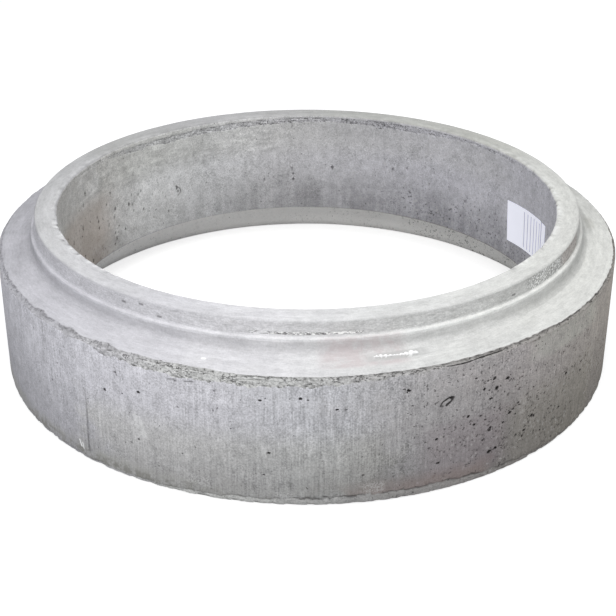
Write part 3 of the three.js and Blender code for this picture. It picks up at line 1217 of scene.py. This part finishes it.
# %% Painted shade in the hollows, and splashes
# One dark colour for painted shade in holes, pinholes, pits, cracks and the broken arris, for the
# painted shadow round the dribble, and for dark flecks of sand and dirt.
hollow_shade_and_flecks = largest(times(pin, 0.7), times(ridge, 0.95), times(fleck, 0.42), times(scratched, 0.6),
                 carried("darkened"))
colour = stained(colour, (38, 36, 35), maths("MINIMUM", hollow_shade_and_flecks, 1.0), 0.93)
colour = stained(colour, (244, 244, 244), carried("splashed"))
so_far("hollows and splashes")

# %% Surface
relief = linear(sand, 0.45, maths("MULTIPLY", mottle, 0.6))
relief = linear(ridge, -1.2, relief)
relief = linear(pin, -0.8, relief)
bump = node("ShaderNodeBump", {"Strength": 0.55, "Distance": 0.0009, "Height": relief})
surface = node("ShaderNodeBsdfPrincipled", {"Base Color": colour, "Roughness": 0.92,
                                            "Specular IOR Level": 0.25, "Normal": bump.outputs[0]})
node("ShaderNodeOutputMaterial", {"Surface": surface.outputs[0]})
ring.data.materials.append(concrete)
print("concrete:", len(tree.nodes), "nodes")

# %% [markdown]
# ## Paper label
# A delivery label without words is stuck inside the bore on the right, a little askew.
# It is a thin sheet with the curve of the wall, and all its print is faint ruled lines.
# A Shrinkwrap modifier could lay it on the wall, but its place there is easy to work out.

# %% Label
LABEL_WIDTH = 0.194
LABEL_HEIGHT = 0.094
LABEL_TILT = math.radians(5.0)
LABEL_CORNER = (64.8, 117.0)
LABEL_STANDOFF = 0.0004
LABEL_THICKNESS = 0.0003
LABEL_COLUMNS, LABEL_ROWS = 24, 8

label_mesh = bmesh.new()
bmesh.ops.create_grid(label_mesh, x_segments=LABEL_COLUMNS, y_segments=LABEL_ROWS, size=0.5,
                      calc_uvs=False)
page = label_mesh.loops.layers.uv.new("page")
for face in label_mesh.faces:
    for loop in face.loops:
        loop[page].uv = (loop.vert.co.x + 0.5, loop.vert.co.y + 0.5)
start = 180.0 - LABEL_CORNER[0]
for vert in label_mesh.verts:
    along = (vert.co.x + 0.5) * LABEL_WIDTH
    up = (vert.co.y + 0.5) * LABEL_HEIGHT
    distance = along * math.cos(LABEL_TILT) - up * math.sin(LABEL_TILT)
    rise = along * math.sin(LABEL_TILT) + up * math.cos(LABEL_TILT)
    degrees = start - math.degrees(distance / BORE_RADIUS)
    vert.co = place(degrees, LABEL_CORNER[1] + 1000 * rise, BORE_RADIUS - LABEL_STANDOFF)
bmesh.ops.recalc_face_normals(label_mesh, faces=label_mesh.faces[:])
label = add_mesh("paper_label", label_mesh)
thickness = label.modifiers.new("paper", "SOLIDIFY")
thickness.thickness = LABEL_THICKNESS
print("label", LABEL_WIDTH, "by", LABEL_HEIGHT, "m")

# %% Paper with ruled lines
RULES_ACROSS = 12.0

paper = bpy.data.materials.new("label_paper")
tree = empty_graph(paper)
on_page = node("ShaderNodeUVMap", uv_map="page").outputs[0]
page_x, page_y, _ = node("ShaderNodeSeparateXYZ", {0: on_page}).outputs
rule = maths("FRACT", maths("MULTIPLY", page_x, RULES_ACROSS))
rule = fading(maths("ABSOLUTE", maths("SUBTRACT", rule, 0.5)), 0.10, 0.17)
ruled = times(rule, window(page_x, 0.32, 0.80, 0.02), window(page_y, 0.06, 0.92, 0.01))
divider = times(window(page_x, 0.845, 0.865, 0.006), 1.2)
page_colour = blend(times(largest(ruled, divider), 0.62), paint(243, 244, 255),
                    paint(138, 138, 158))
# A little emission is painted light that makes the paper brighter than the lamps make it.
sheet_finish_and_glow = node("ShaderNodeBsdfPrincipled", {"Base Color": page_colour, "Roughness": 0.55,
                                                 "Emission Color": page_colour,
                                                 "Emission Strength": 0.18})
node("ShaderNodeOutputMaterial", {"Surface": sheet_finish_and_glow.outputs[0]})
label.data.materials.append(paper)
print("paper:", len(tree.nodes), "nodes")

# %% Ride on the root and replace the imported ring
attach(ring, "root")
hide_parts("ring")
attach(label, "root")
